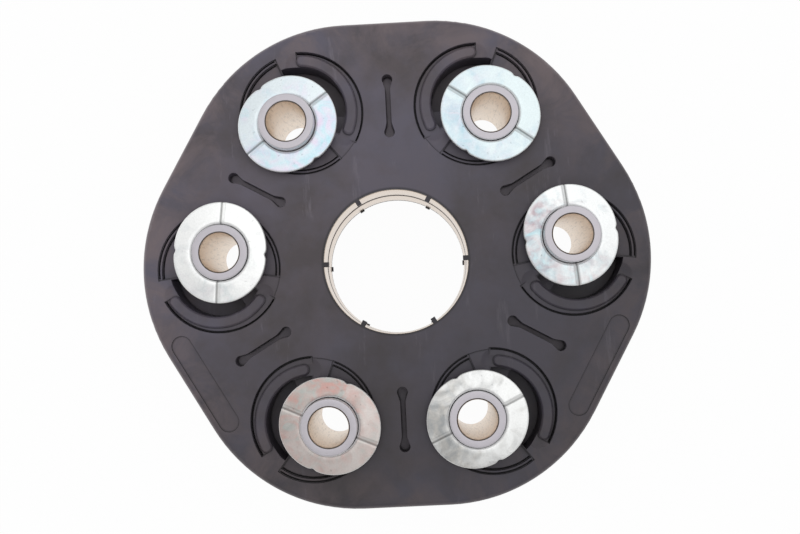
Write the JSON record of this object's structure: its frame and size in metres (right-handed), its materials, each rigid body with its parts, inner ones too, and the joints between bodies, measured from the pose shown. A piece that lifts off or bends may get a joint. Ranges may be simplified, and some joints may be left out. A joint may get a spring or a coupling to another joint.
{
  "type": "disc coupling",
  "caption": "Flexible rubber disc coupling for a propeller shaft, a rounded hexagon with steel bushes on a bolt circle, oval plated washers, relief slots and a steel ring in the middle hole.",
  "frame": {"origin": "centre of the disc, on the shaft axis and on the mid plane of the rubber", "axes": "+Z along the shaft axis out of the printed side, +X towards the corner by the first bush"},
  "size_m": [0.1406, 0.1342, 0.037],
  "materials": {
    "rubber": "moulded, matt with faint bloom",
    "ring_steel": "bright rolled",
    "sleeve_steel": "turned, satin",
    "washer_zinc": "zinc plated",
    "cord": "dipped polyester cord"
  },
  "bodies": {
    "root": {"rubber_body": "rubber", "ring_upper": "ring_steel", "ring_lower": "ring_steel", "sleeve_1": "sleeve_steel", "washer_upper_1": "washer_zinc", "washer_lower_1": "washer_zinc", "sleeve_2": "sleeve_steel", "washer_upper_2": "washer_zinc", "washer_lower_2": "washer_zinc", "sleeve_3": "sleeve_steel", "washer_upper_3": "washer_zinc", "washer_lower_3": "washer_zinc", "sleeve_4": "sleeve_steel", "washer_upper_4": "washer_zinc", "washer_lower_4": "washer_zinc", "sleeve_5": "sleeve_steel", "washer_upper_5": "washer_zinc", "washer_lower_5": "washer_zinc", "sleeve_6": "sleeve_steel", "washer_upper_6": "washer_zinc", "washer_lower_6": "washer_zinc", "cord_wide_1": "cord", "cord_wide_2": "cord", "cord_wide_3": "cord", "cord_upper_1": "cord", "cord_upper_2": "cord", "cord_upper_3": "cord", "cord_lower_1": "cord", "cord_lower_2": "cord", "cord_lower_3": "cord"}
  },
  "joints": []
}
